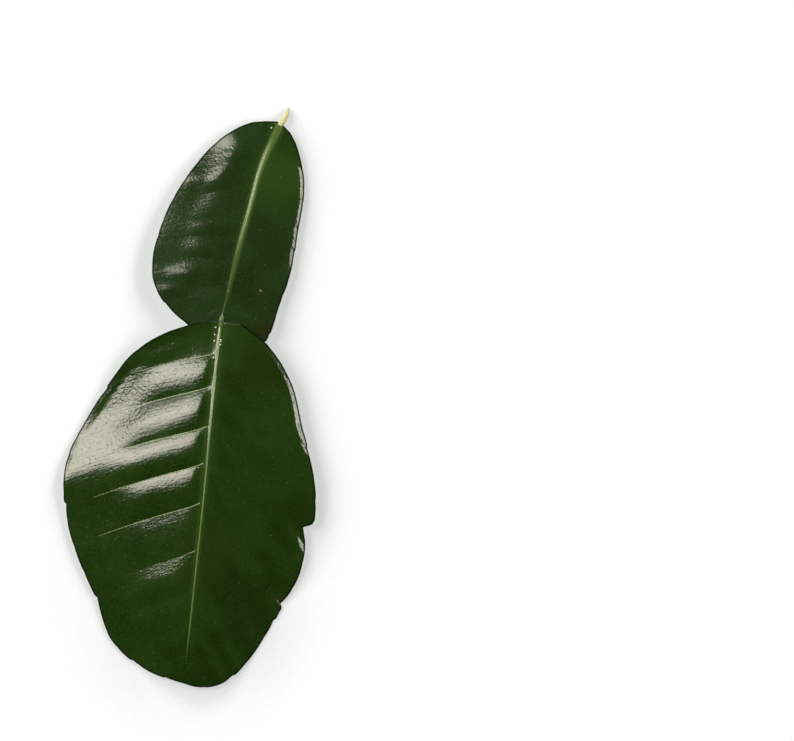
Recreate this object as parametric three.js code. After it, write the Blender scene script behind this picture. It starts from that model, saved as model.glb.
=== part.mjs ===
// A fresh kaffir lime leaf, picked and lying on its paler underside: a large notched
// blade, the winged petiole that carries it like a second, smaller blade, and the
// short bare stalk that was torn from the twig.
// Millimetres. +Y runs from the blade's tip to the stalk and +Z is the glossy side.

import * as THREE from 'three';

// Driving dimensions. Both blades are outlined from the joint between them, which is
// at x = 0, y = 0; each point is x, y and the height of the upper surface there.
const LAMINA = 0.35; // thickness of the blades between their veins
const RIB_ABOVE = 0.1; // how far a midrib stands up from the glossy side
const RIB_BELOW = 0.95; // how far it stands out from the pale side, at the joint
const RIB_CREST = 0.4; // half the width of a midrib's round crest
const RIB_FOOT = 0.8; // half the width of a midrib where it runs into the lamina
const RIB_PROFILE = [1, 0.75]; // shares of its depth at its middle and its crest's edge
const VEIN_BOW = 0.02; // how far a side vein arches towards the stalk, for its length
const FULL_VEIN = 12; // side veins shorter than this carry less quilting between them
const TOUCHING = 1e-6; // points closer than this are one point

const BLADE = {
  midrib: [
    [0.4, 0, 5.2], [1, -10.8, 6.5], [1.8, -24.3, 7.4], [2.5, -36, 7.3],
    [3, -47, 6.7], [3.4, -58, 5.6], [3.8, -70, 3.8], [4, -80.7, 1.9],
  ],
  left: [
    [-0.2, -0.2, 5.2], [-3.5, -0.8, 5.6], [-7, -2.2, 5.5], [-12.6, -5.2, 4.8],
    [-18.3, -10.4, 3.3], [-22.1, -17, 1.7], [-26.1, -26, 1.0], [-28.8, -34, 1.3],
    [-29, -40.2, 1.9], [-27.2, -48.4, 1.4], [-23.2, -57, 1.2], [-18, -65.3, 0.9],
    [-13.6, -73.4, 0.6], [-9, -77.2, 0.5], [-4, -79.4, 0.8], [0, -80.3, 1.3],
    [4, -80.7, 1.9],
  ],
  right: [
    [1, 0.2, 5.2], [3.4, 0.6, 5.5], [6.8, -1, 5.5], [10.5, -3, 5.1],
    [15.7, -8.2, 4.4], [18.9, -13.4, 4.0], [21.2, -19.5, 3.8], [24.6, -27.5, 3.5],
    [26.7, -34.5, 3.3], [27.4, -41, 2.8], [26.9, -48, 2.1], [25.7, -54, 1.3],
    [23.5, -60, 0.7], [20.7, -67, 0.4], [17.2, -74.1, 0.8], [13.7, -78.7, 1.4],
    [10, -80.7, 1.8], [7, -81.1, 1.9], [4, -80.7, 1.9],
  ],
  sweepLeft: (m) => m ** (0.52 + 0.3 * m),
  sweepRight: (m) => m ** (0.42 + 0.05 * m),
  veins: [0.08, 0.17, 0.28, 0.38, 0.49, 0.62, 0.73, 0.82, 0.91],
  swellLeft: 0, // height of each half's dome, for the length of a vein
  swellRight: 0.015,
  quiltLeft: 0.4, // how far the lamina swells up between two side veins
  quiltRight: 0.2,
  ribTaper: 0.75, // share of its depth that the midrib loses towards its thin end
  rows: 50,
  columns: 9,
  crowding: 1.8, // rows crowd towards the joint, where the margin turns fastest
};

const wingSweep = (m) => m + 0.12 * Math.sin(2 * Math.PI * m) + 0.05 * Math.sin(Math.PI * m);
const WING = {
  midrib: [
    [6.6, 45.5, 1.9], [4.1, 36.5, 3.0], [2.9, 26.3, 3.9], [1.7, 15.7, 4.6],
    [1.1, 6.9, 4.8], [0.4, 0.3, 4.8],
  ],
  left: [
    [5.9, 45.9, 1.8], [0.8, 45, 1.9], [-3.8, 42.2, 2.1], [-7.7, 38.1, 2.2],
    [-11.9, 32.2, 2.4], [-15.5, 24.6, 2.8], [-17.1, 17, 3.3], [-17.4, 12, 3.4],
    [-16.2, 7, 3.5], [-12.9, 2.6, 3.7], [-7.7, -1.1, 4.0], [-5.2, -2.3, 4.1],
    [-2.6, -1.5, 4.3], [-0.1, 0.3, 4.7],
  ],
  right: [
    [7.3, 45.2, 1.8], [9.7, 43.1, 1.8], [12.1, 38.5, 1.6], [13.6, 34, 1.5],
    [14.2, 28.5, 1.8], [14, 23, 2.1], [14, 17, 2.2], [13.5, 11, 2.4],
    [12.3, 5, 2.7], [11.6, 0, 3.1], [10.6, -2.9, 3.3], [7.5, -3.4, 3.5],
    [3.5, -1.9, 4.0], [1, 0.3, 4.7],
  ],
  sweepLeft: wingSweep,
  sweepRight: wingSweep,
  veins: [0.16, 0.3, 0.44, 0.57, 0.7, 0.82, 0.92],
  swellLeft: 0,
  swellRight: 0.03,
  quiltLeft: 0.14,
  quiltRight: 0.07,
  ribTaper: 0.3,
  rows: 32,
  columns: 7,
  crowding: 1,
};

const STALK = {
  line: [
    [6.85, 45.8, 1.5], [7.3, 46.9, 1.3], [7.6, 47.9, 1.05], [7.78, 48.8, 0.8],
    [7.82, 49.4, 0.6],
  ],
  radii: [0.62, 0.62, 0.52, 0.42, 0.2], // it thins to where it was torn off
  sides: 12,
  stepsPerSpan: 3,
};

const curveThrough = (points) =>
  new THREE.CatmullRomCurve3(points.map((point) => new THREE.Vector3(...point)));

// Which panel between two side veins a place along the midrib lies in, from 0 to 1
// across the panel.
function acrossPanel(place, veins) {
  const stops = [0, ...veins, 1];
  const panel = Math.min(
    stops.findIndex((stop, index) => index > 0 && place <= stop),
    stops.length - 1,
  );
  const start = stops[panel - 1] ?? 0;
  return (place - start) / (stops[panel] - start);
}

// How far along a side vein a column lies: the first two follow the midrib's crest and
// foot, which take at most a third of it each, and the rest share the lamina evenly.
function alongVein(column, columns, length) {
  const crest = Math.min(RIB_CREST / length, 1 / 3);
  const foot = Math.min(RIB_FOOT / length, 2 / 3);
  if (column < 3) return [0, crest, foot][column];
  return foot + (1 - foot) * (column - 2) / (columns - 2);
}

// One upper and one lower point for each row and column. A row runs along a side vein,
// from one margin through the midrib to the other.
function surfaceRows(blade) {
  const midrib = curveThrough(blade.midrib);
  const sides = ['Left', 'Right'].map((name) => ({
    margin: curveThrough(blade[name.toLowerCase()]),
    sweep: blade[`sweep${name}`],
    swell: blade[`swell${name}`],
    quilt: blade[`quilt${name}`],
  }));

  const rows = [];
  for (let row = 0; row <= blade.rows; row += 1) {
    const place = (row / blade.rows) ** blade.crowding;
    const root = midrib.getPointAt(place);
    const panel = acrossPanel(place, blade.veins);
    const ribDepth = RIB_BELOW * (1 - blade.ribTaper * place);
    const upper = [];
    const lower = [];

    for (let step = -blade.columns; step <= blade.columns; step += 1) {
      const side = sides[step < 0 ? 0 : 1];
      const end = side.margin.getPointAt(Math.min(side.sweep(place), 1));
      const length = root.distanceTo(end);
      const column = Math.abs(step);
      const along = length ? alongVein(column, blade.columns, length) : 0;

      const point = root.clone().lerp(end, along);
      const arch = Math.sin(Math.PI * along);
      point.y += VEIN_BOW * length * arch;
      point.z += side.swell * length * arch;
      point.z += side.quilt * Math.sin(Math.PI * panel) * arch * Math.min(length / FULL_VEIN, 1);

      const underside = point.clone();
      underside.z -= LAMINA + (RIB_PROFILE[column] ?? 0) * ribDepth;
      point.z += column === 0 ? RIB_ABOVE : 0;
      upper.push(point);
      lower.push(underside);
    }
    rows.push({ upper, lower });
  }
  return rows;
}

// A closed sheet: the upper and lower grids, joined by a strip round their outline. A
// row whose points all meet is the blade's tip and is kept as one point on each side.
function closedSheet(rows) {
  const positions = [];
  const triangles = [];
  const indexOf = { upper: [], lower: [] };

  for (const layer of ['upper', 'lower']) {
    for (const row of rows) {
      const points = row[layer];
      const isTip = row.upper[0].distanceTo(row.upper.at(-1)) < TOUCHING;
      const first = positions.length / 3;
      const kept = isTip ? [points[(points.length - 1) / 2]] : points;
      kept.forEach((point) => positions.push(point.x, point.y, point.z));
      indexOf[layer].push(points.map((_, column) => (isTip ? first : first + column)));
    }
  }

  const addTriangle = (a, b, c) => {
    if (a !== b && b !== c && a !== c) triangles.push(a, b, c);
  };
  const addQuad = (a, b, c, d) => {
    addTriangle(a, b, c);
    addTriangle(a, c, d);
  };

  const last = rows.length - 1;
  const edge = rows[0].upper.length - 1;
  for (let row = 0; row < last; row += 1) {
    for (let column = 0; column < edge; column += 1) {
      const [top, topNext] = [indexOf.upper[row], indexOf.upper[row + 1]];
      const [under, underNext] = [indexOf.lower[row], indexOf.lower[row + 1]];
      addQuad(top[column], topNext[column], topNext[column + 1], top[column + 1]);
      addQuad(under[column], under[column + 1], underNext[column + 1], underNext[column]);
    }
  }

  const outline = [];
  for (let row = 0; row < last; row += 1) outline.push([row, 0]);
  for (let column = 0; column < edge; column += 1) outline.push([last, column]);
  for (let row = last; row > 0; row -= 1) outline.push([row, edge]);
  for (let column = edge; column > 0; column -= 1) outline.push([0, column]);
  outline.forEach(([row, column], index) => {
    const [nextRow, nextColumn] = outline[(index + 1) % outline.length];
    addQuad(
      indexOf.upper[row][column],
      indexOf.lower[row][column],
      indexOf.lower[nextRow][nextColumn],
      indexOf.upper[nextRow][nextColumn],
    );
  });
  return closedGeometry(positions, triangles);
}

function closedGeometry(positions, triangles) {
  const geometry = new THREE.BufferGeometry();
  geometry.setAttribute('position', new THREE.Float32BufferAttribute(positions, 3));
  geometry.setIndex(triangles);
  geometry.computeVertexNormals();
  return geometry;
}

// A round stem whose radius changes along its line, closed at both ends.
function taperedStem({ line, radii, sides, stepsPerSpan }) {
  const centre = curveThrough(line);
  const radius = curveThrough(radii.map((value, index) => [index, value, 0]));
  const steps = (line.length - 1) * stepsPerSpan;
  const positions = [];
  const triangles = [];

  for (let step = 0; step <= steps; step += 1) {
    const place = step / steps;
    const middle = centre.getPoint(place);
    const forward = centre.getTangent(place);
    const across = new THREE.Vector3(0, 0, 1).cross(forward).normalize();
    const up = forward.clone().cross(across);
    for (let side = 0; side < sides; side += 1) {
      const angle = (2 * Math.PI * side) / sides;
      const point = middle.clone()
        .addScaledVector(across, Math.cos(angle) * radius.getPoint(place).y)
        .addScaledVector(up, Math.sin(angle) * radius.getPoint(place).y);
      positions.push(point.x, point.y, point.z);
    }
  }

  const ends = [centre.getPoint(0), centre.getPoint(1)];
  const firstEnd = positions.length / 3;
  ends.forEach((end) => positions.push(end.x, end.y, end.z));
  for (let side = 0; side < sides; side += 1) {
    const next = (side + 1) % sides;
    for (let step = 0; step < steps; step += 1) {
      const [near, far] = [step * sides, (step + 1) * sides];
      triangles.push(near + side, near + next, far + next);
      triangles.push(near + side, far + next, far + side);
    }
    triangles.push(firstEnd, next, side);
    triangles.push(firstEnd + 1, steps * sides + side, steps * sides + next);
  }
  return closedGeometry(positions, triangles);
}

function namedMesh(name, geometry, colour, roughness) {
  const material = new THREE.MeshStandardMaterial({ color: colour, roughness, metalness: 0 });
  const mesh = new THREE.Mesh(geometry, material);
  mesh.name = name;
  return mesh;
}

const leaf = new THREE.Group();
leaf.add(namedMesh('leaf_blade', closedSheet(surfaceRows(BLADE)), '#22370f', 0.35));
leaf.add(namedMesh('petiole_wing', closedSheet(surfaceRows(WING)), '#2f4519', 0.4));
leaf.add(namedMesh('petiole_stalk', taperedStem(STALK), '#d0cc98', 0.6));

// The part's origin is on the surface it lies on, under the middle of its box.
const box = new THREE.Box3().setFromObject(leaf);
const middle = box.getCenter(new THREE.Vector3());
leaf.position.set(-middle.x, -middle.y, -box.min.z);

export default leaf;
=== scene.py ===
import math

import bpy
import numpy as np
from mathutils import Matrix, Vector, noise
from numpy.linalg import norm


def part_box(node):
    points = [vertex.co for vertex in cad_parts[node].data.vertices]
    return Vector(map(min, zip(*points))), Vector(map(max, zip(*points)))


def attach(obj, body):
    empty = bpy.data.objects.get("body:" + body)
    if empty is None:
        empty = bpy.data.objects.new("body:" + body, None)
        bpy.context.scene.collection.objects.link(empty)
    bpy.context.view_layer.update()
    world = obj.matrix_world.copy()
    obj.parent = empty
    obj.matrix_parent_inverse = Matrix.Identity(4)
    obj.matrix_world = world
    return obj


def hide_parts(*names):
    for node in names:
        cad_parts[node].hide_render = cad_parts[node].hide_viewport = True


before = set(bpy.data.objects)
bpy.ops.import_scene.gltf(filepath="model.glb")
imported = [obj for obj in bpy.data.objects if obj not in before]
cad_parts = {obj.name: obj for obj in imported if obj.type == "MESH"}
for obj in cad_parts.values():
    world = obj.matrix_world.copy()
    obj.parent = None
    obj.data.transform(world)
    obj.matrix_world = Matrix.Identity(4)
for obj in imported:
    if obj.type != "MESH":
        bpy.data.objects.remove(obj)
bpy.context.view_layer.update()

# A fresh kaffir lime leaf lying on its pale underside. Sizes are in millimetres and are
# turned to metres as they go to Blender. Both blades are outlined from the joint between
# them, at x = 0, y = 0, and each outline point is x, y and the height of the upper side.

mm = 0.001

lamina = {
    "thickness": 0.35,
    "veinBow": 0.02,      # how far a side vein arches towards the stalk, for its length
    "veinHook": 0.8,      # how far it bends towards the stalk where it leaves the midrib
    "quilt": 0.53,        # how far the blade swells up between two side veins
    "quiltSpan": 0.11,    # and how far apart they must be for all of it
    "quiltShape": 0.88,   # 1 is a plain arch, and less is fuller beside the veins
    "quiltFade": (0.45, 0.75),  # the shares of a side vein between which it dies away
    "ripple": 0.10,       # slow unevenness of the whole blade
    "rippleLength": 9.0,
    "grain": 0.02,        # unevenness drawn out along the side veins
    "grainLength": 5.0,
    "grainWidth": 1.6,
    "unevenFrom": (2, 3),  # how far from the midrib and the margin it grows
    "puckerFrom": 5,      # and the local swellings, from the midrib
    "fullLength": 12,     # side veins shorter than this have less relief,
    "rollFull": 8,        # shorter than this, a weaker turn of the margin,
    "notchFull": 4,       # and shorter than this, shallower nibbles
    "hookReach": 1.6,     # how soon a side vein bends
    "toothDrift": (9, 0.6),  # how slowly the teeth's pitch drifts, and how far
    "slanted": 0.3,       # the least that a slanting margin counts as square
    "ribCrest": 1.6,      # how sharp the midrib is
    "ribGroove": (1.5, 0.4, 0.1),  # place, width and depth of the groove beside it
    "rimDark": (0.05, 0.3),  # the strip along the margin, painted dark as painted shade of the turned rim
    "creasedLeast": 0.12,  # how finely creased all of the skin is
    "shadeSpan": (-0.1, 0.35, 0.3, 0.95),  # where in a panel the shade comes and goes
    "shadeFrom": (1, 5),  # and how far from the midrib it grows
    "ribColumns": 14,     # columns of points near the midrib, and how far out they reach
    "ribSpan": 1.6,
    "crowding": 1.45,     # how much the others crowd towards the margin
    "notchRows": (-0.8, -0.45, -0.2, 0, 0.2, 0.6),  # rows added round a notch's start
    "closestRows": 8e-4,  # in shares of the blade
    "rimSteps": 3,        # how finely the cut edge is rounded
}

blade = {
    "midrib": [(0.4, 0, 5.2), (1, -10.8, 6.6), (1.8, -24.3, 7.7), (2.5, -36, 7.6),
               (3, -47, 7), (3.4, -58, 5.9), (3.8, -70, 3.9), (4, -80.7, 1.9)],
    "left": [(-0.2, -0.2, 5.2), (-3.5, -0.8, 5.7), (-7, -2.2, 5.6), (-12.6, -5.2, 4.9),
             (-18.3, -10.4, 3.5), (-22.1, -17, 1.9), (-26.1, -26, 0.8), (-28.8, -34, 1.2),
             (-29, -40.2, 2), (-27.2, -48.4, 1.4), (-23.2, -57, 1.2), (-18, -65.3, 0.9),
             (-13.6, -73.4, 0.6), (-9, -77.2, 0.5), (-4, -79.4, 0.8), (0, -80.3, 1.3),
             (4, -80.7, 1.9)],
    "right": [(1, 0.4, 5.1), (3.4, 0.6, 5.5), (6.8, -1, 5.5), (10.5, -3, 5.2),
              (15.7, -8.2, 4.7), (18.9, -13.4, 4.3), (21.2, -19.5, 4.1), (24.6, -27.5, 3.8),
              (26.7, -34.5, 3.4), (27.4, -41, 2.8), (26.9, -48, 2.1), (25.7, -54, 1.3),
              (23.5, -60, 0.7), (20.7, -67, 0.4), (17.2, -74.1, 0.8), (13.7, -78.7, 1.4),
              (10, -80.7, 1.8), (7, -81.1, 1.9), (4, -80.7, 1.9)],
    "sweepLeft": lambda place: place ** (0.52 + 0.3 * place),
    "sweepRight": lambda place: place ** (0.42 + 0.05 * place),
    "veins": [0.08, 0.17, 0.28, 0.38, 0.49, 0.62, 0.73, 0.82, 0.91],
    "swell": (0, 0.015),  # how high each half is domed, for a vein's length
    "channel": (0.26, 2.8),  # how deep the midrib lies in the blade, and how wide
    "quiltShare": (1, 0.45),  # the right half is almost smooth
    "quiltStart": 0.09,  # share of a side vein within which the quilting is full
    "quiltFirst": 0.1,  # its share in the panel next to the joint
    "quiltCalm": (0.36, 0.52, 0.47),  # and it weakens between two stations to a share
    "ribWidth": (0.38, 0.2),  # half width of the midrib above, at the joint and tip
    "ribHeight": (0.065, 0.03),
    "keelWidth": (0.75, 0.35),  # the same for its round keel below
    "keelDepth": (0.95, 0.22),
    # stretches of the margins that turn up or down: start, end, slope and how far in
    "curlLeft": [(0, 120, -0.05, 1), (15, 31, -0.1, 6), (24, 43, 0.13, 2.6)],
    "curlRight": [(8, 37, -0.36, 1.5), (57, 60.4, -0.25, 2.8), (64, 110, -0.06, 1.5)],
    # nibbles in the margins: start along the margin, depth, reach
    "notchesLeft": [(30.8, 0.3, 1.6), (59.1, 0.5, 2.2), (81.2, 0.35, 2), (97.9, 0.3, 1.8),
                    (106.3, 0.25, 1.5)],
    "notchesRight": [(36.2, 0.25, 3), (54.6, 2.35, 4.6), (73.3, 0.85, -2), (77.1, 0.35, 2),
                     (92.5, 0.3, 2)],
    "toothPitch": 6.3,
    "toothDepth": 0.14,
    # finely creased skin: x, y, reach, strength
    "creases": [(-17, -17, 7, 1), (-20, -27, 6, 0.5), (-6, -12, 6, 0.3), (-10, -36, 6, 0.3)],
    # local swellings: x, y, reach along and across their slant, rise
    "puckers": [(-5, -60, 7.5, 3, 0.37)],
    "puckerSlant": 27,  # degrees
    # the bands along the midrib: how far out each fades, in half widths of the midrib, the
    # shares of its length between which it comes and goes, and its strength
    "bands": {
        # crest: the pale midrib, partly a painted highlight along it
        "crest": ((0.25, 0.8), (-0.1, 0, 0.8, 0.93), 1),
        "shoulder": ((0.75, 1.2), (-0.1, 0, 0.84, 0.96), 1),
        # groove: painted shade in the groove beside the midrib
        "groove": ((1.4, 2), (-0.1, 0, 0.7, 0.9), 0.5),
        "glow": ((1, 6), (-0.1, 0, 0.6, 0.9), 0.25),
    },
    "shade": 0.7,  # how dark the painted shade on the right half is just below each vein
    "rowsPerPanel": 19,
    "columns": 88,
}


def wingSweep(place):
    return place + 0.12 * math.sin(2 * math.pi * place) + 0.05 * math.sin(math.pi * place)


wing = {
    "midrib": [(6.6, 45.5, 1.9), (4.1, 36.5, 3), (2.9, 26.3, 3.9), (1.7, 15.7, 4.6),
               (1.1, 6.9, 4.9), (0.4, 0.3, 4.8)],
    "left": [(5.9, 45.9, 1.8), (0.8, 45, 1.9), (-3.8, 42.2, 2), (-7.7, 38.1, 1.9),
             (-11.4, 32, 2.4), (-14.65, 24.4, 2.8), (-16.3, 17, 3.3), (-16.7, 12, 3.4),
             (-15.85, 7, 3.4), (-12.9, 2.6, 3.7), (-7.7, -1.1, 4), (-5.2, -2.3, 4.1),
             (-2.6, -1.5, 4.3), (-0.1, 0.3, 4.7)],
    "right": [(7.3, 45.2, 1.8), (9.7, 43.1, 1.8), (12.1, 38.5, 1.6), (13.6, 34, 1.6),
              (14.2, 28.5, 1.9), (14, 23, 2.2), (14, 17, 2.3), (13.5, 11, 2.4),
              (12.3, 5, 2.7), (11.6, 0, 3.1), (10.6, -2.9, 3.3), (7.5, -3.4, 3.5),
              (3.5, -1.9, 4), (1, 0.3, 4.7)],
    "sweepLeft": wingSweep,
    "sweepRight": wingSweep,
    "veins": [0.16, 0.3, 0.44, 0.57, 0.7, 0.82, 0.92],
    "swell": (0, 0.03),
    "channel": (0.1, 3),
    "quiltShare": (0.3, 0.15),
    "quiltStart": 0.3,
    "quiltFirst": 0.5,
    "quiltCalm": (0.9, 1, 1),
    "ribWidth": (0.78, 0.42),
    "ribHeight": (0.06, 0.012),
    "keelWidth": (0.85, 0.75),
    "keelDepth": (0.95, 0.8),
    "curlLeft": [(0, 80, -0.03, 1)],
    "curlRight": [(10, 33, -0.24, 1)],
    "notchesLeft": [(55.2, 0.25, 1.5)],
    "notchesRight": [(18.2, 0.1, 1.5), (29.2, 0.12, 1.6), (48.5, 0.25, 1.6)],
    "toothPitch": 5.1,
    "toothDepth": 0.12,
    "creases": [],
    "puckers": [(-1.4, 39.6, 3.4, 3.8, 0.6), (-3.2, 35.6, 3.4, 3.8, 0.44), (-5, 31.4, 3.4, 3.6, 0.4),
                (-9.8, 30.4, 3.5, 2, 0.25),
                (-5, 21.4, 8, 2, 0.14), (-5.5, 15.6, 8, 2, 0.14), (-10, 9, 5, 2, 0.46),
                (-11.5, 5.6, 3, 1.3, 0.24)],
    "puckerSlant": 9,
    "bands": {
        # crest: the pale midrib, partly a painted highlight along its upper part
        "crest": ((0.12, 0.4), (0.06, 0.2, 0.45, 0.7), 1),
        "shoulder": ((0.8, 1.4), (-0.1, 0, 0.35, 1.2), 1),
        # groove: painted shade in the groove beside the midrib
        "groove": ((1.4, 2), (-0.1, 0, 0.9, 1.1), 0.4),
        "glow": ((1, 2.4), (-0.1, 0, 0.5, 1), 0.4),
    },
    # painted shade below each side vein, faint on the wing
    "shade": 0.1,
    "rowsPerPanel": 18,
    "columns": 56,
}


def smoothLine(points, steps=40):
    # a centripetal curve through the points, with how far along it each step lies
    knots = np.array(points, float)
    knots = np.vstack([2 * knots[0] - knots[1], knots, 2 * knots[-1] - knots[-2]])
    spans = np.sqrt(norm(np.diff(knots, axis=0), axis=1))
    t = (np.arange(steps) / steps)[:, None]
    line = []
    for k in range(len(knots) - 3):
        a, b, c, d = knots[k:k + 4]
        ab, bc, cd = spans[k:k + 3]
        leave = ((b - a) / ab - (c - a) / (ab + bc) + (c - b) / bc) * bc
        arrive = ((c - b) / bc - (d - b) / (bc + cd) + (d - c) / cd) * bc
        line.append(b + leave * t + (3 * (c - b) - 2 * leave - arrive) * t**2
                    + (2 * (b - c) + leave + arrive) * t**3)
    line = np.vstack(line + [knots[-2:-1]])
    travelled = np.append(0, np.cumsum(norm(np.diff(line, axis=0), axis=1)))
    return line, travelled


def onLine(line, travelled, shares):
    at = np.clip(shares, 0, 1) * travelled[-1]
    return np.stack([np.interp(at, travelled, line[:, axis]) for axis in range(3)], axis=-1)


def easeBetween(low, high, value):
    t = np.clip((value - low) / (high - low), 0, 1)
    return t * t * (3 - 2 * t)


def comeAndGo(span, value):
    start, full, fading, end = span
    return easeBetween(start, full, value) * (1 - easeBetween(fading, end, value))


def marginInset(at, notches, shape):
    # how far the margin is nibbled in: shallow round teeth, and notches that step in round
    # a corner and run out over their reach, or the other way round where it is negative
    length, drift = lamina["toothDrift"]
    wobble = np.array([noise.noise(Vector((value / length, shape["toothPitch"], 0))) for value in at])
    tooth = np.abs(np.sin(np.pi * (at / shape["toothPitch"] + drift * wobble)))
    inset = shape["toothDepth"] * (1 - tooth) ** 2 * (0.6 + wobble)
    for start, depth, reach in notches:
        past = (at - start) * math.copysign(1, reach)
        inset = inset + depth * easeBetween(-0.7 - 0.8 * depth, 0.15, past) ** 3 \
            * np.exp(-np.clip(past / abs(reach), 0, None) ** 1.2)
    return inset


def marginRoll(at, toEdge, stretches, uneven):
    # how far stretches of a margin turn up or down: an even slope over the outer half of
    # the turn, eased out over its inner half
    rise = np.zeros_like(toEdge)
    for start, end, steepness, reach in stretches:
        soft = min(max(reach, 2), 0.5 * (end - start))      # it starts and ends gently
        slope = steepness * easeBetween(start - soft, start + soft, at) \
            * (1 - easeBetween(end - soft, end + soft, at))
        wide = reach + 0.5 * uneven
        share = toEdge / wide[:, None]
        inner = np.clip(2 * share - 1, 0, 1)
        turn = np.clip(0.5 - share, 0, None) + 0.25 - 0.5 * (inner - inner**3 + inner**4 / 2)
        rise += (slope * wide)[:, None] * turn
    return rise


def rowPlaces(shape):
    # rows crowd towards every side vein and every notch, so that both are crisp
    stops = [0] + shape["veins"] + [1]
    turns = (1 - np.cos(np.pi * np.arange(shape["rowsPerPanel"]) / shape["rowsPerPanel"])) / 2
    places = [start + (end - start) * turns for start, end in zip(stops, stops[1:])]
    fine = np.linspace(0, 1, 2001)  # places close enough to look a notch's up in
    for name in ("Left", "Right"):
        travelled = smoothLine(shape[name.lower()])[1]
        reached = np.array([min(shape["sweep" + name](place), 1) for place in fine]) * travelled[-1]
        for start, _, _ in shape["notches" + name]:
            places.append(np.interp(start + np.array(lamina["notchRows"]), reached, fine))
    places = np.sort(np.concatenate(places))
    return np.append(places[np.append(np.diff(places), 1) > lamina["closestRows"]], 1)


def columnShares(length, columns):
    # the first columns follow the midrib, the rest crowd towards the margin
    first, rest = lamina["ribColumns"], columns - lamina["ribColumns"]
    near = np.minimum(lamina["ribSpan"], length * 0.5)[:, None]
    ribPart = near * (np.arange(first) / first)
    out = 1 - (1 - np.arange(rest + 1) / rest) ** lamina["crowding"]
    outPart = near + (length[:, None] - near) * out
    return np.hstack([ribPart, outPart]) / np.maximum(length, 1e-9)[:, None]


def panelOf(shape, places):
    # the panel between two side veins that each place lies in, its width and how far through
    stops = np.array([0] + shape["veins"] + [1])
    index = np.clip(np.searchsorted(stops, places, side="right") - 1, 0, len(stops) - 2)
    return index, np.diff(stops)[index], (places - stops[index]) / (stops[index + 1] - stops[index])


def halfSurface(shape, side, name, places, root):
    # one half of a blade, from the midrib out: a row of points for each place
    sign = 1 if side else -1
    line, travelled = smoothLine(shape[name.lower()])
    at = np.array([min(shape["sweep" + name](place), 1) for place in places])
    end = onLine(line, travelled, at)
    ahead = onLine(line, travelled, at + 1e-4) - onLine(line, travelled, at - 1e-4)
    ahead = ahead[:, :2] / norm(ahead[:, :2], axis=1)[:, None]
    inward = np.stack([-ahead[:, 1], ahead[:, 0]], axis=1) * -sign
    inset = marginInset(at * travelled[-1], shape["notches" + name], shape)
    inset = inset * np.clip(norm(end - root, axis=1) / lamina["notchFull"], 0, 1)
    whole = np.maximum(norm(end - root, axis=1), 1e-9)
    flat = np.maximum(norm((end - root)[:, :2], axis=1), 1e-9)
    end[:, :2] += inward * inset[:, None]
    end[:, 2] += (root - end)[:, 2] * (1 - norm((end - root)[:, :2], axis=1) / flat)

    length = norm(end - root, axis=1)
    full = np.minimum(length / lamina["fullLength"], 1)[:, None]
    shares = columnShares(length, shape["columns"])
    point = root[:, None] * (1 - shares[..., None]) + end[:, None] * shares[..., None]
    away = shares * length[:, None]
    along = np.minimum(away / whole[:, None], 1)
    square = np.abs(((end - root)[:, :2] * inward).sum(axis=1)) / np.maximum(length, 1e-9)
    toEdge = (length[:, None] - away) * np.maximum(square, lamina["slanted"])[:, None]
    toOutline = toEdge + inset[:, None]
    arch = np.sin(np.pi * along)
    point[..., 1] += lamina["veinBow"] * length[:, None] * arch
    bend = (1 - np.exp(-away / lamina["hookReach"])) * (1 - along) * full
    point[..., 1] -= lamina["veinHook"] * bend * math.copysign(1, root[0, 1] - root[-1, 1])
    point[..., 2] += shape["swell"][side] * length[:, None] * arch
    depth, reach = shape["channel"]
    point[..., 2] -= depth * np.exp(-(away / reach) ** 2) * full

    index, width, panel = panelOf(shape, places)
    quilt = np.abs(np.sin(np.pi * panel))[:, None] ** lamina["quiltShape"] * full
    quilt = quilt * easeBetween(0, shape["quiltStart"], along) \
        * (1 - easeBetween(*lamina["quiltFade"], along))
    quilt *= np.minimum(width / lamina["quiltSpan"], 1)[:, None]
    quilt[index == 0] *= shape["quiltFirst"]
    calmFrom, calmTo, calm = shape["quiltCalm"]
    quilt = quilt * (1 - (1 - calm) * easeBetween(calmFrom, calmTo, places))[:, None]
    point[..., 2] += lamina["quilt"] * shape["quiltShare"][side] * quilt

    # the margin turns along a slightly wavy line
    uneven = np.array([noise.noise(Vector((value * travelled[-1] / 1.6, 5, side))) for value in at])
    turned = marginRoll(at * travelled[-1], toEdge, shape["curl" + name], uneven)
    point[..., 2] += turned * np.minimum(length / lamina["rollFull"], 1)[:, None]
    return point, away * sign, toEdge, toOutline


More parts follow.
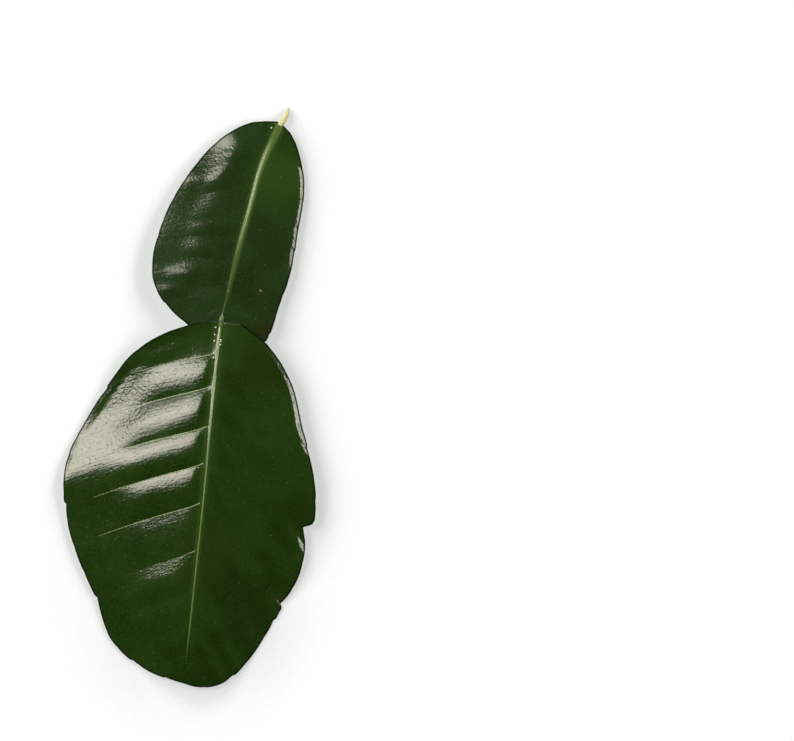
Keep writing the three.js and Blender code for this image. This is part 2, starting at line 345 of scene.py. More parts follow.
def leafSurface(shape):
    # the upper and under side as two grids: a row runs along a side vein, from the left
    # margin through the midrib to the right
    places = rowPlaces(shape)
    root = onLine(*smoothLine(shape["midrib"]), places)
    halves = [halfSurface(shape, side, name, places, root)
              for side, name in enumerate(("Left", "Right"))]
    middle, away, toEdge, toOutline = (
        np.concatenate([left[:, :0:-1], right], axis=1) for left, right in zip(*halves))
    across = np.cumsum(np.append(0, norm(np.diff(root, axis=0), axis=1)))
    across = np.broadcast_to(across[:, None], away.shape)
    far = np.abs(away)

    uneven, slow = np.empty(away.shape), np.empty(away.shape)
    for spot in np.ndindex(away.shape):
        x, y, _ = middle[spot]
        drawn = Vector((away[spot] / lamina["grainLength"], across[spot] / lamina["grainWidth"], 7))
        uneven[spot] = (lamina["ripple"] * noise.noise(Vector((x, y, 0)) / lamina["rippleLength"])
                        + lamina["grain"] * noise.noise(drawn))
        slow[spot] = noise.noise(Vector((x, y, 60)) / lamina["rippleLength"])
    fromRib, fromRim = lamina["unevenFrom"]
    uneven *= easeBetween(0, fromRib, far) * easeBetween(0, fromRim, toOutline)
    for x, y, veinwise, crosswise, rise in shape["puckers"]:
        slant = math.radians(math.copysign(shape["puckerSlant"], -x))
        east, north = middle[..., 0] - x, middle[..., 1] - y
        down = east * math.cos(slant) + north * math.sin(slant)
        aside = north * math.cos(slant) - east * math.sin(slant)
        bulge = rise * np.exp(-(down / veinwise) ** 2 - (aside / crosswise) ** 2)
        uneven += bulge * easeBetween(0, lamina["puckerFrom"], far)
    middle[..., 2] += uneven

    def along(pair):
        return (pair[0] + (pair[1] - pair[0]) * places)[:, None]

    ribWidth = along(shape["ribWidth"])
    out, wide, deep = lamina["ribGroove"]
    crest = np.clip(1 - (far / ribWidth) ** 2, 0, None)
    groove = np.exp(-((far - out * ribWidth) / (wide * ribWidth)) ** 2)
    upper = middle.copy()
    upper[..., 2] += along(shape["ribHeight"]) * (crest ** lamina["ribCrest"] - deep * groove)
    keel = np.sqrt(np.clip(1 - (far / along(shape["keelWidth"])) ** 2, 0, None))
    under = middle.copy()
    under[..., 2] -= lamina["thickness"] + along(shape["keelDepth"]) * keel
    facts = {"alongVein": away, "acrossVein": across,
             # a dark strip along the margin: painted shade of the turned rim
             "edge": 1 - easeBetween(*lamina["rimDark"], toEdge),
             "creased": np.full(away.shape, lamina["creasedLeast"])}
    for x, y, reach, strength in shape["creases"]:
        apart = np.hypot(middle[..., 0] - x, middle[..., 1] - y)
        facts["creased"] += strength * np.exp(-(apart / reach) ** 2)
    _, _, panel = panelOf(shape, places)
    # painted shade: the right half darker just below each side vein
    shaded = shape["shade"] * comeAndGo(lamina["shadeSpan"], panel)[:, None]
    shaded = shaded * easeBetween(*lamina["shadeFrom"], away)
    facts["shade"] = shaded * easeBetween(-0.35, 0.35, slow)  # patchy, as the noise is
    for name, (reach, span, strength) in shape["bands"].items():
        beside = 1 - easeBetween(*reach, far / ribWidth)
        facts[name] = strength * comeAndGo(span, places)[:, None] * beside
    return {"upper": upper, "under": under, "places": places, "facts": facts}


def addToScene(name, data):
    thing = bpy.data.objects.new(name, data)
    bpy.context.scene.collection.objects.link(thing)
    return thing


def meshPiece(name, points, faces, materials, edges=()):
    # points are in millimetres from the joint
    mesh = bpy.data.meshes.new(name)
    mesh.from_pydata([tuple(point) for point in (points + jointAt) * mm], edges, faces)
    for material in materials:
        mesh.materials.append(material)
    mesh.shade_smooth()
    return addToScene(name, mesh)


def setFacts(piece, facts):
    for name, values in facts.items():
        attribute = piece.data.attributes.new(name, "FLOAT", "POINT")
        attribute.data.foreach_set("value", np.asarray(values, dtype=np.float32))


def leafMesh(name, surface, materials):
    # a closed sheet: both grids, joined round the outline by a rounded rim
    upper, under = surface["upper"], surface["under"]
    rows, columns, _ = upper.shape
    tipped = np.ptp(upper[-1, :, :2], axis=0).max() < 1e-6
    positions, spots = [], []
    top, below = np.empty((2, rows, columns), int)
    for index, grid in ((top, upper), (below, under)):
        for row in range(rows):
            kept = [columns // 2] if tipped and row == rows - 1 else range(columns)
            index[row] = len(positions) + (0 if len(kept) == 1 else np.arange(columns))
            positions += [grid[row, column] for column in kept]
            spots += [(row, column) for column in kept]

    quads, slots = [], []
    for row in range(rows - 1):
        for column in range(columns - 1):
            corners = ((row, column), (row + 1, column), (row + 1, column + 1), (row, column + 1))
            quads.append([top[corner] for corner in corners])
            quads.append([below[corner] for corner in reversed(corners)])
            slots += [0, 1]

    outline = [(row, 0) for row in range(rows - 1)]
    outline += [(rows - 1, column) for column in range(1 if tipped else columns - 1)]
    outline += [(row, columns - 1) for row in range(rows - (2 if tipped else 1), 0, -1)]
    outline += [(0, column) for column in range(columns - 1, 0, -1)]
    high = np.array([upper[spot] for spot in outline])
    low = np.array([under[spot] for spot in outline])
    travel = (np.roll(high, -1, axis=0) - np.roll(high, 1, axis=0))[:, :2]
    outward = np.stack([travel[:, 1], -travel[:, 0]], axis=1) / norm(travel, axis=1)[:, None]
    rings = [[top[spot] for spot in outline]]
    for step in range(1, lamina["rimSteps"] + 1):
        angle = math.pi * (0.5 - step / (lamina["rimSteps"] + 1))
        ring = (high + low) / 2 + (high - low) / 2 * math.sin(angle)
        ring[:, :2] += outward * lamina["thickness"] / 2 * math.cos(angle)
        rings.append(list(range(len(positions), len(positions) + len(ring))))
        positions += list(ring)
        spots += outline
    rings.append([below[spot] for spot in outline])
    for near, far in zip(rings, rings[1:]):
        for k in range(len(outline)):
            after = (k + 1) % len(outline)
            quads.append((near[k], far[k], far[after], near[after]))
            slots.append(0)

    faces = [list(dict.fromkeys(int(corner) for corner in quad)) for quad in quads]
    kept = [k for k, face in enumerate(faces) if len(face) > 2]
    piece = meshPiece(name, np.array(positions), [faces[k] for k in kept], materials)
    piece.data.polygons.foreach_set("material_index", [slots[k] for k in kept])
    rowAt, columnAt = np.array(spots).T
    setFacts(piece, {fact: values[rowAt, columnAt] for fact, values in surface["facts"].items()})
    return piece


def hexColour(text):
    values = [int(text[k:k + 2], 16) / 255 for k in (1, 3, 5)]
    return tuple(v / 12.92 if v <= 0.04045 else ((v + 0.055) / 1.055) ** 2.4 for v in values) + (1,)


def addNode(tree, kind, inputs=(), output=0, **settings):
    # a node with its settings, its inputs linked or set, and one output to pass on
    node = tree.nodes.new(kind)
    for name, value in settings.items():
        setattr(node, name, value)
    for socket, source in dict(inputs).items():
        if isinstance(source, bpy.types.NodeSocket):
            tree.links.new(source, node.inputs[socket])
        else:
            node.inputs[socket].default_value = source
    return node.outputs[output] if len(node.outputs) else node


def newMaterial(name):
    # an empty material and its Object coordinates in millimetres
    material = bpy.data.materials.new(name)
    material.use_nodes = True
    tree = material.node_tree
    tree.nodes.clear()
    coords = addNode(tree, "ShaderNodeTexCoord", output="Object")
    inMm = addNode(tree, "ShaderNodeVectorMath", {0: coords, "Scale": 1 / mm}, operation="SCALE")
    return material, tree, inMm


def stretched(tree, along, across, length, width):
    # coordinates in which a pattern is drawn out along a vein or a stem
    drawn = addNode(tree, "ShaderNodeCombineXYZ", {0: along, 1: across})
    return addNode(tree, "ShaderNodeVectorMath", {0: drawn, 1: (1 / length, 1 / width, 0)},
                   operation="MULTIPLY")


def painted(tree, ground, covers):
    # a ground colour under covers, each of them its share and its colour
    colour = hexColour(ground)
    for share, tint in covers:
        colour = addNode(tree, "ShaderNodeMix", {0: share, 6: colour, 7: hexColour(tint)}, 2,
                         data_type="RGBA")
    return colour


def coated(material, inputs):
    tree = material.node_tree
    surface = addNode(tree, "ShaderNodeBsdfPrincipled", inputs)
    addNode(tree, "ShaderNodeOutputMaterial", {"Surface": surface})
    return material


def waxyLeafSide(name, look):
    # thick citrus leaf under smooth wax: a sharp gloss over dark green, broken by the
    # small pits over its oil glands and by fine wrinkles drawn out along the side veins
    material, tree, inMm = newMaterial(name)
    warp = addNode(tree, "ShaderNodeTexNoise", {"Vector": inMm, "Scale": 0.6, "Detail": 1.0}, "Color")
    bent = addNode(tree, "ShaderNodeVectorMath", {0: warp, 1: (1.3, 1.3, 1.3), 2: inMm},
                   operation="MULTIPLY_ADD")
    facts = {name: addNode(tree, "ShaderNodeAttribute", output="Fac", attribute_name=name)
             for name in ("alongVein", "acrossVein", "creased", "shade", "glow", "groove",
                          "shoulder", "crest", "edge")}
    drawn = stretched(tree, facts["alongVein"], facts["acrossVein"], look["wrinkleLength"],
                      look["wrinkleWidth"])
    wrinkles = addNode(tree, "ShaderNodeTexNoise", {"Vector": drawn, "Scale": 1.0, "Detail": 3.0})
    drifts, skin, wear = (
        addNode(tree, "ShaderNodeTexNoise", {"Vector": inMm, "Scale": 1 / look[size]})
        for size in ("driftSize", "skinSize", "wearSize"))
    net = addNode(tree, "ShaderNodeTexVoronoi", {"Vector": bent, "Scale": 1 / look["netSize"]},
                  feature="DISTANCE_TO_EDGE")
    pores = addNode(tree, "ShaderNodeTexVoronoi", {"Vector": inMm, "Scale": 1 / look["poreSize"]})

    # colour: slow drifts of green, faint small veins and pores, stains, then facts of the mesh:
    # painted shade below the side veins, the midrib's bands (painted shade in its grooves, a crest
    # partly a painted highlight) and a margin strip of painted shade
    drift = addNode(tree, "ShaderNodeMapRange", {"Value": drifts, "From Min": 0.35, "From Max": 0.65},
                    interpolation_type="SMOOTHSTEP")
    fading = [(net, 0, 0.16, look["netShow"], look["net"], "LINEAR"),
              (pores, 0.1, 0.28, look["poreShow"], look["pore"], "LINEAR")]
    for place, *reachAndLook in look["stains"]:
        flat = addNode(tree, "ShaderNodeVectorMath", {0: inMm, 1: (1, 1, 0)}, operation="MULTIPLY")
        centre = (place[0] + jointAt[0], place[1] + jointAt[1], 0)
        away = addNode(tree, "ShaderNodeVectorMath", {0: flat, 1: centre}, "Value",
                       operation="DISTANCE")
        fading.append((away, *reachAndLook, "SMOOTHSTEP"))
    covers = [(drift, look["fresh"])]
    for pattern, inner, outer, share, tint, ease in fading:
        covers.append((addNode(tree, "ShaderNodeMapRange", {
            "Value": pattern, "From Min": inner, "From Max": outer, "To Min": share, "To Max": 0},
            interpolation_type=ease), tint))
    covers += [(facts[fact], look[fact])
               for fact in ("shade", "glow", "groove", "shoulder", "crest", "edge")]

    # relief, in millimetres: each layer's texture, the range it uses and its height
    ridged = addNode(tree, "ShaderNodeMath", {0: facts["creased"], 1: look["netHeight"]},
                     operation="MULTIPLY")
    relief = 0.0
    for texture, low, high, rise in (
            (wrinkles, 0, 1, look["wrinkleHeight"]), (skin, 0, 1, look["skinHeight"]),
            (pores, 0.1, 0.3, look["poreDepth"]), (net, 0, 0.25, ridged)):
        layer = addNode(tree, "ShaderNodeMapRange", {
            "Value": texture, "From Min": low, "From Max": high, "To Max": rise})
        relief = addNode(tree, "ShaderNodeMath", {0: layer, 1: relief}, operation="ADD")
    bump = addNode(tree, "ShaderNodeBump", {"Height": relief, "Strength": 1.0, "Distance": mm})
    smooth, worn = look["roughness"]
    dulled = addNode(tree, "ShaderNodeMapRange", {
        "Value": wear, "From Min": 0.3, "From Max": 0.7, "To Min": smooth, "To Max": worn})
    gloss = addNode(tree, "ShaderNodeMapRange", {  # the margin strip of painted shade has hardly any
        "Value": facts["edge"], "To Min": 0.5, "To Max": 0.06})
    return coated(material, {
        "Base Color": painted(tree, look["deep"], covers), "Roughness": dulled, "Normal": bump,
        "IOR": look["ior"], "Specular IOR Level": gloss})


# colours, sizes in millimetres, and each stain's place, inner and outer reach, share and tint
upperLook = {
    "deep": "#182d07", "fresh": "#20370e", "driftSize": 12.0,
    "net": "#3f5a24", "netSize": 1.3, "netShow": 0.09, "netHeight": 0.018,
    "pore": "#34501c", "poreSize": 0.9, "poreShow": 0.11, "poreDepth": 0.014,
    # painted shade: the groove beside the midrib, below the side veins and along the margin; the
    # crest is partly a painted highlight
    "shoulder": "#46602a", "crest": "#66824a", "groove": "#142604", "glow": "#50692f",
    "shade": "#172b06", "edge": "#0e1a04", "skinSize": 0.6, "skinHeight": 0.02,
    "wrinkleLength": 2.6, "wrinkleWidth": 0.5, "wrinkleHeight": 0.034,
    "wearSize": 1.2, "roughness": (0.12, 0.16), "ior": 1.5,
    "stains": [((11, -8), 1, 9, 0.35, "#262b12"), ((5, -52), 1, 10, 0.3, "#262b12"),
               ((23.0, -58.6), 0.2, 1.4, 0.6, "#3a2c14")],
}
# the wing: the same wax over a duller, patchier green, and a paler crest that is partly a painted
# highlight
wingLook = dict(
    upperLook, deep="#1a2c0e", fresh="#22361a", shoulder="#4d6631", crest="#8fa371", glow="#4d6631",
    wrinkleHeight=0.03, poreDepth=0.01, roughness=(0.13, 0.17),
    stains=[((9.0, 34.0), 2.0, 12.0, 0.75, "#2b4713"), ((7.0, 18.0), 2.0, 9.0, 0.4, "#203510"),
            # the brown on the lobes under the blade: partly a brown tint, partly painted shade of the
            # overlap
            ((10.3, -0.6), 0.5, 3.6, 0.45, "#2c230e"), ((-8.0, -0.4), 0.3, 2.6, 0.4, "#2c230e"),
            ((7.6, 44.9), 0.1, 0.8, 0.6, "#3a2f16"), ((7.97, 8.15), 0.25, 0.6, 0.8, "#3f3a16"),
            ((7.97, 8.15), 0.05, 0.32, 0.9, "#9d9a68")])
# the underside: no wax, so pale, matt and netted all over with small veins
underLook = dict(
    upperLook, deep="#6f8a49", fresh="#7f9a58", net="#9db377", netShow=0.4, netHeight=-0.02,
    pore="#5b7638", poreShow=0.35, groove="#7a9453", shoulder="#9cae70", crest="#a9ba7c",
    glow="#7f9a58", shade="#6f8a49", edge="#5b7638", roughness=(0.55, 0.65), stains=[])

print("shaping the blades")
# the blade's outline fits its CAD solid, and the lowest point is on the floor
outline = np.concatenate([smoothLine(blade["left"])[0], smoothLine(blade["right"])[0]])
jointAt = np.array(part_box("leaf_blade")[0]) / mm - outline.min(axis=0)
bladeSurface = leafSurface(blade)
wingSurface = leafSurface(wing)
jointAt[2] = -min(bladeSurface["under"][..., 2].min(), wingSurface["under"][..., 2].min())

print("making the blades")
upperMaterial = waxyLeafSide("waxyCitrusUpperSide", upperLook)
wingMaterial = waxyLeafSide("waxyCitrusWing", wingLook)
underMaterial = waxyLeafSide("paleCitrusUnderside", underLook)
leafBlade = leafMesh("leafBlade", bladeSurface, [upperMaterial, underMaterial])
petioleWing = leafMesh("petioleWing", wingSurface, [wingMaterial, underMaterial])
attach(leafBlade, "root")
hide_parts("leaf_blade")
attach(petioleWing, "root")
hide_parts("petiole_wing")


tissueIor = 1.45      # of plant tissue without its wax


def drawnFibre(name, look):
    # bare stem tissue: fine fibres drawn out along it give it a soft, streaky sheen, with
    # brown and green where the facts on the mesh say so
    material, tree, _ = newMaterial(name)
    along, around, greened, browned = (
        addNode(tree, "ShaderNodeAttribute", output="Fac", attribute_name=fact)
        for fact in ("alongStem", "roundStem", "greened", "browned"))
    drawn = stretched(tree, along, around, look["fibreLength"], look["fibreWidth"])
    fibres = addNode(tree, "ShaderNodeTexNoise", {"Vector": drawn, "Scale": 1.0})
    colour = painted(tree, look["pale"], [
        (fibres, look["fibre"]), (greened, look["green"]), (browned, look["brown"])])
    bump = addNode(tree, "ShaderNodeBump", {
        "Height": fibres, "Strength": 1.0, "Distance": look["fibreDepth"] * mm})
    return coated(material, {
        "Base Color": colour, "Roughness": look["roughness"], "Normal": bump, "IOR": tissueIor})


def stemMesh(name, stem, material):
    # a round stem along its line, closed at both ends
    line, travelled = smoothLine(stem["line"])
    shares = np.linspace(0, 1, stem["steps"])
    centres = onLine(line, travelled, shares)
    radii = np.interp(shares, np.linspace(0, 1, len(stem["radii"])), stem["radii"])
    forward = np.gradient(centres, axis=0)
    forward /= norm(forward, axis=1)[:, None]
    angles = 2 * math.pi * np.arange(stem["sides"]) / stem["sides"]
    points = []
    for share, centre, ahead, radius in zip(shares, centres, forward, radii):
        across = np.cross(ahead, (0, 0, 1))
        across /= norm(across)
        up = np.cross(across, ahead)
        for angle in angles:
            spot = Vector((share * 6, math.cos(angle), math.sin(angle)))
            ridge = 1 + stem["ridges"] * (math.sin(3 * angle + 0.6) + noise.noise(spot))
            points.append(centre + (across * math.cos(angle) + up * math.sin(angle)) * radius * ridge)
    sides = stem["sides"]
    last = len(points)
    points += [centres[0], centres[-1]]
    faces = []
    for side in range(sides):
        after = (side + 1) % sides
        for step in range(stem["steps"] - 1):
            near, far = step * sides, (step + 1) * sides
            faces.append((near + side, far + side, far + after, near + after))
        faces.append((last, side, after))
        tip = (stem["steps"] - 1) * sides
        faces.append((last + 1, tip + after, tip + side))
    piece = meshPiece(name, np.array(points), faces, [material])
    along = np.append(np.repeat(shares, sides), (0, 1))
    around = np.append(np.tile(angles, stem["steps"]), (0, 0))
    setFacts(piece, {
        "alongStem": along * travelled[-1], "roundStem": np.sin(around),
        "browned": np.clip(stem["browned"](along, np.cos(around)), 0, 1),
        "greened": np.clip(stem["greened"](along, np.cos(around)), 0, 1)})
    return piece


# facing is 1 on the stem's right and -1 on its left, seen from above with the stalk up
stalk = {
    "line": [(6.5, 45.2, 1.5), (6.85, 45.9, 1.5), (7.3, 46.9, 1.3), (7.6, 47.9, 1.05),
             (7.78, 48.8, 0.8), (7.82, 49.5, 0.55)],
    "radii": [0.6, 0.66, 0.62, 0.52, 0.42, 0.06],
    "ridges": 0.05,
    "sides": 24,
    "steps": 44,
    "browned": lambda share, facing: (facing - 0.55) * 1.6,
    "greened": lambda share, facing: (share - 0.78) * 5,
    # torn from the twig and dried: cream, matt and fibrous, brown down its right side
    "look": {"pale": "#d8d4a4", "fibre": "#c6c08a", "green": "#8c9a70", "brown": "#6a5632",
             "fibreLength": 1.4, "fibreWidth": 0.25, "fibreDepth": 0.03, "roughness": 0.6},
}

knuckle = {
    "line": [(0.55, 1.5, 4.55), (0.47, 0.7, 4.75), (0.4, 0.12, 4.8), (0.4, -0.15, 4.8),
             (0.42, -0.8, 4.75), (0.46, -1.6, 4.6)],
    "radii": [0.25, 0.52, 0.5, 0.5, 0.52, 0.25],
    "ridges": 0.03,
    "sides": 24,
    "steps": 40,
    # the dark ring at the snap: painted shade
    "browned": lambda share, facing: 1.1 - np.abs(share - 0.46) / 0.07,
    "greened": lambda share, facing: np.abs(share - 0.46) / 0.3,
    # skin over the joint: green with a dull gloss, and a dark ring where the leaf snaps off, painted
    # shade of the crease there
    "look": {"pale": "#5d7034", "fibre": "#52662e", "green": "#4d6631", "brown": "#2b2d0c",
             "fibreLength": 0.8, "fibreWidth": 0.3, "fibreDepth": 0.02, "roughness": 0.4},
}

print("making the stalk and the joint")
petioleStalk = stemMesh("petioleStalk", stalk, drawnFibre("tornStalkFibre", stalk["look"]))
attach(petioleStalk, "root")
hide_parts("petiole_stalk")
jointKnuckle = stemMesh("jointKnuckle", knuckle, drawnFibre("greenJointSkin", knuckle["look"]))
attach(jointKnuckle, "root")


def nodeTree(name, material, sizes):
    # an empty geometry tree with named inputs
    tree = bpy.data.node_groups.new(name, "GeometryNodeTree")
    for end in ("INPUT", "OUTPUT"):
        tree.interface.new_socket("Geometry", in_out=end, socket_type="NodeSocketGeometry")
    kinds = {int: "NodeSocketInt", float: "NodeSocketFloat", bpy.types.Material: "NodeSocketMaterial"}
    for label, value in dict(sizes, Finish=material).items():
        socket = tree.interface.new_socket(label, in_out="INPUT", socket_type=kinds[type(value)])
        socket.default_value = value
    return tree, addNode(tree, "NodeGroupInput").node.outputs


def finishTree(tree, geometry, given):
    # every tree ends in plain, smooth, finished geometry
    plain = addNode(tree, "GeometryNodeRealizeInstances", {"Geometry": geometry})
    smooth = addNode(tree, "GeometryNodeSetShadeSmooth", {"Geometry": plain})
    finished = addNode(tree, "GeometryNodeSetMaterial",
                       {"Geometry": smooth, "Material": given["Finish"]})
    addNode(tree, "NodeGroupOutput", {"Geometry": finished})
    return tree


def sideVeinTree(material):
    # a tapering rib swept along each line
    tree, given = nodeTree("sideVeinRibs", material, {
        "Rib Radius": 0.15 * mm, "Taper": 0.6, "Rib Sides": 8})
    lines = addNode(tree, "GeometryNodeMeshToCurve", {"Mesh": given["Geometry"]})
    share = addNode(tree, "GeometryNodeSplineParameter", output="Factor")
    lost = addNode(tree, "ShaderNodeMath", {0: share, 1: given["Taper"]}, operation="MULTIPLY")
    scale = addNode(tree, "ShaderNodeMath", {0: 1.0, 1: lost}, operation="SUBTRACT")
    section = addNode(tree, "GeometryNodeCurvePrimitiveCircle",
                      {"Resolution": given["Rib Sides"], "Radius": given["Rib Radius"]})
    ribs = addNode(tree, "GeometryNodeCurveToMesh", {
        "Curve": lines, "Profile Curve": section, "Scale": scale, "Fill Caps": True})
    return finishTree(tree, ribs, given)


def beadTree(material):
    # a small drop on each point, none quite the same size
    tree, given = nodeTree("sapBeads", material, {"Bead Radius": 0.17 * mm, "Seed": 4})
    spots = addNode(tree, "GeometryNodeMeshToPoints", {"Mesh": given["Geometry"]})
    drop = addNode(tree, "GeometryNodeMeshIcoSphere",
                   {"Radius": given["Bead Radius"], "Subdivisions": 2})
    size = addNode(tree, "FunctionNodeRandomValue", {2: 0.8, 3: 1.2, "Seed": given["Seed"]}, 1,
                   data_type="FLOAT")
    drops = addNode(tree, "GeometryNodeInstanceOnPoints",
                    {"Points": spots, "Instance": drop, "Scale": size})
    return finishTree(tree, drops, given)


def glandTree(material):
    # low domes scattered evenly over a surface, lying flat on it
    tree, given = nodeTree("oilGlands", material, {
        "Spacing": 2.6 * mm, "Density": 600000.0, "Gland Radius": 0.09 * mm, "Seed": 11})
    spots = addNode(tree, "GeometryNodeDistributePointsOnFaces", {
        "Mesh": given["Geometry"], "Distance Min": given["Spacing"], "Density Max": given["Density"],
        "Seed": given["Seed"]}, "Points", distribute_method="POISSON")
    lying = spots.node.outputs["Rotation"]
    dome = addNode(tree, "GeometryNodeMeshIcoSphere",
                   {"Radius": given["Gland Radius"], "Subdivisions": 1})
    size = addNode(tree, "FunctionNodeRandomValue", {2: 0.5, 3: 1.2, "Seed": given["Seed"]}, 1,
                   data_type="FLOAT")
    low = addNode(tree, "ShaderNodeVectorMath", {0: (1, 1, 0.25), "Scale": size}, operation="SCALE")
    domes = addNode(tree, "GeometryNodeInstanceOnPoints", {
        "Points": spots, "Instance": dome, "Rotation": lying, "Scale": low})
    return finishTree(tree, domes, given)


def grown(name, tree, values, points, edges=(), faces=()):
    # runs the tree on the given mesh and keeps its result as a plain one
    source = meshPiece(name + "Source", points, faces, [], edges)
    modifier = source.modifiers.new("tree", "NODES")
    modifier.node_group = tree
    for item in tree.interface.items_tree:
        if item.in_out == "INPUT" and item.name in values:
            modifier[item.identifier] = values[item.name]
    graph = bpy.context.evaluated_depsgraph_get()
    mesh = bpy.data.meshes.new_from_object(source.evaluated_get(graph))
    mesh.name = name
    bpy.data.objects.remove(source)
    return addToScene(name, mesh)


def plainFinish(name, first, second, size, roughness):
    # smooth plant tissue whose colour drifts a little
    material, tree, inMm = newMaterial(name)
    drift = addNode(tree, "ShaderNodeTexNoise", {"Vector": inMm, "Scale": 1 / size})
    return coated(material, {
        "Base Color": painted(tree, first, [(drift, second)]), "Roughness": roughness,
        "IOR": tissueIor})


# each set of ribs: side and half of the blade, radius, how deep its line is sunk at the
# midrib and at its end, taper, the share of the vein that it covers, and how much deeper
# the ribs near the tip are sunk
ribBelow = {"layer": "under", "radius": 0.24, "sunk": (-0.06, -0.1), "taper": 0.7,
            "reach": (0.0, 0.93), "drowned": 0}
veinRibs = {
    "leftAbove": {"layer": "upper", "sign": -1, "radius": 0.15, "sunk": (0.0, 0.06), "taper": 0.5,
                  "reach": (0.03, 0.82), "drowned": 0.17},
    "rightAbove": {"layer": "upper", "sign": 1, "radius": 0.13, "sunk": (0.115, 0.13), "taper": 0.4,
                   "reach": (0.03, 0.5), "drowned": 0},
    "leftBelow": dict(ribBelow, sign=-1),
    "rightBelow": dict(ribBelow, sign=1),
}


def veinLines(surface, shape, rib):
    # the side veins follow the rows that lie on the given stations
    grid = surface[rib["layer"]]
    centre = grid.shape[1] // 2
    points, edges = [], []
    for station in shape["veins"]:
        line = grid[np.abs(surface["places"] - station).argmin(), centre::rib["sign"]]
        share = norm(line - line[0], axis=1) / norm(line[-1] - line[0])
        kept = (share >= rib["reach"][0]) & (share <= rib["reach"][1])
        depth = rib["sunk"][0] + (rib["sunk"][1] - rib["sunk"][0]) * share[kept] / rib["reach"][1]
        depth += rib["drowned"] * easeBetween(0.45, 0.72, station)  # from mid blade on
        line = line[kept] - np.stack([0 * depth, 0 * depth, depth], axis=1)
        edges += [(k, k + 1) for k in range(len(points), len(points) + len(line) - 1)]
        points += list(line)
    return np.array(points), edges


print("growing the side veins")
# raised veins under wax: thin pale lines, each with a soft glint
veinWax = plainFinish("sideVeinWax", "#687d4c", "#7a8e5c", 3.0, 0.25)
# veins deep under the wax: hardly lighter than the leaf round them
faintWax = plainFinish("faintVeinWax", "#2b4512", "#314c17", 3.0, 0.22)
# veins of the underside, which has no wax: round, pale and matt
veinPale = plainFinish("sideVeinPale", "#95a96c", "#a4b67c", 3.0, 0.55)
veinTree = sideVeinTree(veinWax)
blades = (("blade", bladeSurface, blade, "glossy_leaf"), ("wing", wingSurface, wing, "wing_leaf"))
for owner, surface, shape, slotName in blades:
    for ribName, rib in veinRibs.items():
        if owner == "wing" and rib["layer"] == "upper":
            continue
        points, edges = veinLines(surface, shape, rib)
        finish = {"leftAbove": veinWax, "rightAbove": faintWax}.get(ribName, veinPale)
        veins = grown(owner + "Veins" + ribName[0].upper() + ribName[1:], veinTree, {
            "Rib Radius": rib["radius"] * mm, "Taper": rib["taper"], "Finish": finish},
            points, edges)
        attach(veins, "root")

print("scattering the oil glands")
# glands under clear wax: as green as the leaf round them, seen by the glints on their domes
glandWax = plainFinish("glandDomeWax", "#3f5a1e", "#52682a", 5.0, 0.5)
domeTree = glandTree(glandWax)
for owner, surface, _, slotName in blades:
    grid = surface["upper"][::2, ::2]
    rows, columns, _ = grid.shape
    faces = [(k, k + columns, k + columns + 1, k + 1) for row in range(rows - 2)
             for k in range(row * columns + 1, row * columns + columns - 2)]
    glands = grown(owner + "Glands", domeTree, {"Finish": glandWax}, grid.reshape(-1, 3), faces=faces)
    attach(glands, "root")

sapBeads = {
    # place on the blade or the wing, and radius; lift is how far up it sits, in radii
    "lift": 0.4,
    "beads": [(-0.58, -1.4, 0.15), (-0.5, -3.0, 0.16), (-0.35, -4.42, 0.2), (-0.12, -7.1, 0.16),
              (0.0, -8.14, 0.13), (1.04, -4.0, 0.14), (1.05, -4.35, 0.15), (1.08, -5.06, 0.2),
              (4.8, 44.4, 0.07)],
    "colour": ("#eef2e2", "#dfe8c8"),
}

print("setting the sap beads")
skin = np.concatenate([bladeSurface["upper"].reshape(-1, 3), wingSurface["upper"].reshape(-1, 3)])
spots = []
for x, y, radius in sapBeads["beads"]:
    nearest = norm(skin[:, :2] - (x, y), axis=1).argmin()
    spots.append((x, y, skin[nearest, 2] + sapBeads["lift"] * radius))
# sap dried to hard drops: white dots, each with a sharp glint
beadFinish = plainFinish("driedSapBead", *sapBeads["colour"], 0.6, 0.12)
beads = grown("sapBeads", beadTree(beadFinish), {"Finish": beadFinish}, np.array(spots))
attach(beads, "root")

# each light: azimuth from +X and angle from straight up in degrees, distance and size in
# millimetres, brightness of its face seen straight on, the angle over which it fades to
# nothing, and tint
studio = {
    "lights": {
        "key": {"azimuth": 161, "fromZenith": 38, "distance": 1000, "size": (500, 440),
                "radiance": 16.5, "spread": 46, "tint": (1, 0.94, 0.81)},
        "low": {"azimuth": 150, "fromZenith": 70, "distance": 1300, "size": (1000, 600),
                "radiance": 2.6, "spread": 180, "tint": (1, 1, 1)},
        "rim": {"azimuth": 20, "fromZenith": 54, "distance": 1300, "size": (1050, 240),
                "radiance": 12.0, "spread": 180, "tint": (1, 0.95, 0.83)},
    },
    # brightness of the room straight above, and at the horizon behind and before the lights
    "zenith": 0.02,
    "horizon": (0.6, 3.0),
    "haze": 0.05,  # of the soft glow round the key light
    "hazeReach": (0.8, 0.97),
    "floor": "#a0a4aa",
    "floorReach": 2000,
    "floorGlow": 0.65,
    "floorShade": 16,  # how far, in millimetres, things standing on it dim that glow
    "shadeFrom": {"azimuth": 98, "fromZenith": 40},  # the side from which they do so most
    "shadeOpen": (0.93, 1.0),  # the openness between which the glow falls off
    "shadeDeepest": 0.7,  # and what is left of it at the lower one
}

# the point it hangs over, its height, its turn in degrees and the width it takes in
camera = {"over": (40.6, -4.8), "height": 600, "roll": 8.67, "width": 177.4, "sensor": 36}


def skyward(light):
    azimuth, polar = math.radians(light["azimuth"]), math.radians(light["fromZenith"])
    return Vector((math.cos(azimuth) * math.sin(polar), math.sin(azimuth) * math.sin(polar),
                   math.cos(polar)))


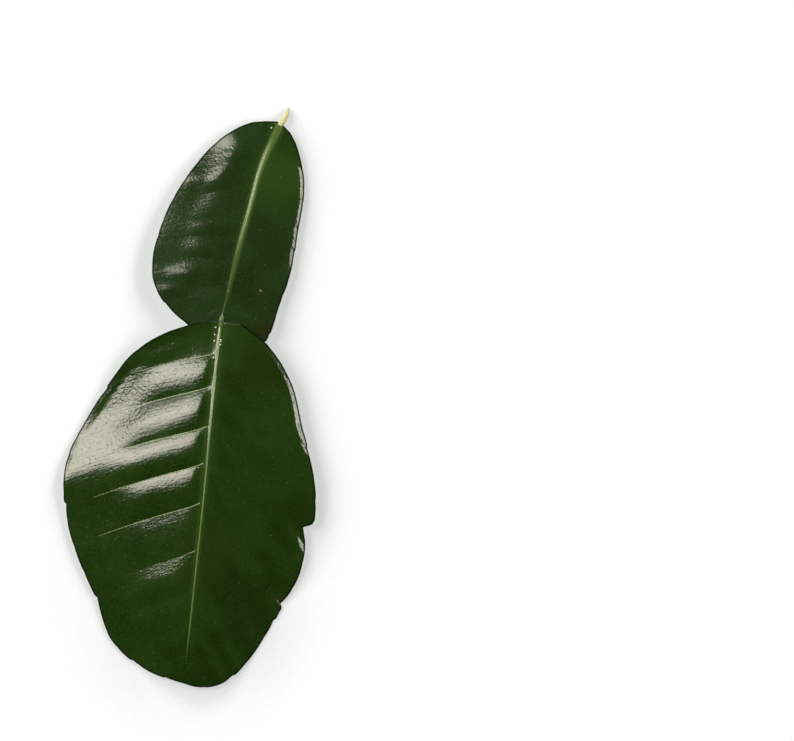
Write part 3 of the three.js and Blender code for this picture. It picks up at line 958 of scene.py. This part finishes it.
def softbox(name, light):
    width, depth = (side * mm for side in light["size"])
    data = bpy.data.lights.new(name, "AREA")
    data.shape = "RECTANGLE"
    data.size, data.size_y = width, depth
    data.spread = math.radians(light["spread"])
    gathered = math.tan(data.spread / 2) / (math.tan(data.spread / 2) - data.spread / 2)
    data.energy = light["radiance"] / gathered * math.pi * width * depth
    data.color = light["tint"]
    lamp = addToScene(name, data)
    lamp.location = skyward(light) * light["distance"] * mm
    lamp.rotation_euler = skyward(light).to_track_quat("Z", "Y").to_euler()


print("setting the studio")
floorMesh = bpy.data.meshes.new("floor")
reach = studio["floorReach"] * mm
floorCorners = [(-reach, -reach, 0), (reach, -reach, 0), (reach, reach, 0), (-reach, reach, 0)]
floorMesh.from_pydata(floorCorners, [], [(0, 1, 2, 3)])
floor = addToScene("floor", floorMesh)
# matt white paper glowing softly so that it stays white; its glow dims close to whatever lies on it,
# a wide faint painted shadow; clear from below
floorMaterial, tree, _ = newMaterial("whitePaperFloor")
paper = addNode(tree, "ShaderNodeBsdfDiffuse", {"Color": hexColour(studio["floor"])})
leant = addNode(tree, "ShaderNodeCombineXYZ", dict(enumerate(skyward(studio["shadeFrom"]))))
# painted shadow: the glow dims where things nearby hide the room
opened = addNode(tree, "ShaderNodeAmbientOcclusion", {
    "Distance": studio["floorShade"] * mm, "Normal": leant}, "AO")
opened = addNode(tree, "ShaderNodeMapRange", {
    "Value": opened, "From Min": studio["shadeOpen"][0], "From Max": studio["shadeOpen"][1],
    "To Min": studio["shadeDeepest"]})
glowing = addNode(tree, "ShaderNodeMath", {0: opened, 1: studio["floorGlow"]}, operation="MULTIPLY")
glow = addNode(tree, "ShaderNodeEmission", {"Strength": glowing})
both = addNode(tree, "ShaderNodeAddShader", {0: paper, 1: glow})
clear = addNode(tree, "ShaderNodeBsdfTransparent")
back = addNode(tree, "ShaderNodeNewGeometry", output="Backfacing")
oneSided = addNode(tree, "ShaderNodeMixShader", {0: back, 1: both, 2: clear})
addNode(tree, "ShaderNodeOutputMaterial", {"Surface": oneSided})
floorMesh.materials.append(floorMaterial)

for name, light in studio["lights"].items():
    softbox(name + "Softbox", light)

world = bpy.data.worlds.new("studio")
bpy.context.scene.world = world
world.use_nodes = True
tree = world.node_tree
tree.nodes.clear()
outlook = addNode(tree, "ShaderNodeTexCoord", output="Generated")
upward = addNode(tree, "ShaderNodeSeparateXYZ", {0: outlook}, 2)
aside, keyward = (
    addNode(tree, "ShaderNodeVectorMath", {0: outlook, 1: skyward(studio["lights"][name])}, "Value",
            operation="DOT_PRODUCT")
    for name in ("low", "key"))
horizon = addNode(tree, "ShaderNodeMapRange", {
    "Value": aside, "From Min": -1.0, "To Min": studio["horizon"][0], "To Max": studio["horizon"][1]})
dome = addNode(tree, "ShaderNodeMapRange", {
    "Value": upward, "From Max": 0.6, "To Min": horizon, "To Max": studio["zenith"]},
    interpolation_type="SMOOTHSTEP")
haze = addNode(tree, "ShaderNodeMapRange", {
    "Value": keyward, "From Min": studio["hazeReach"][0], "From Max": studio["hazeReach"][1],
    "To Max": studio["haze"]}, interpolation_type="SMOOTHSTEP")
brightness = addNode(tree, "ShaderNodeMath", {0: dome, 1: haze}, operation="ADD")
seen = addNode(tree, "ShaderNodeLightPath", output="Is Camera Ray")
room = addNode(tree, "ShaderNodeBackground", {"Color": (1, 1, 1, 1), "Strength": brightness})
wall = addNode(tree, "ShaderNodeBackground", {"Color": (1, 1, 1, 1), "Strength": 1.0})
either = addNode(tree, "ShaderNodeMixShader", {0: seen, 1: room, 2: wall})
addNode(tree, "ShaderNodeOutputWorld", {"Surface": either})

cameraData = bpy.data.cameras.new("camera")
cameraData.sensor_width = camera["sensor"]
cameraData.lens = cameraData.sensor_width * camera["height"] / camera["width"]
cameraObject = addToScene("camera", cameraData)
cameraObject.location = np.append(camera["over"] + jointAt[:2], camera["height"]) * mm
cameraObject.rotation_euler = (0, 0, math.radians(camera["roll"]))
bpy.context.scene.camera = cameraObject
bpy.context.scene.view_settings.view_transform = "Standard"
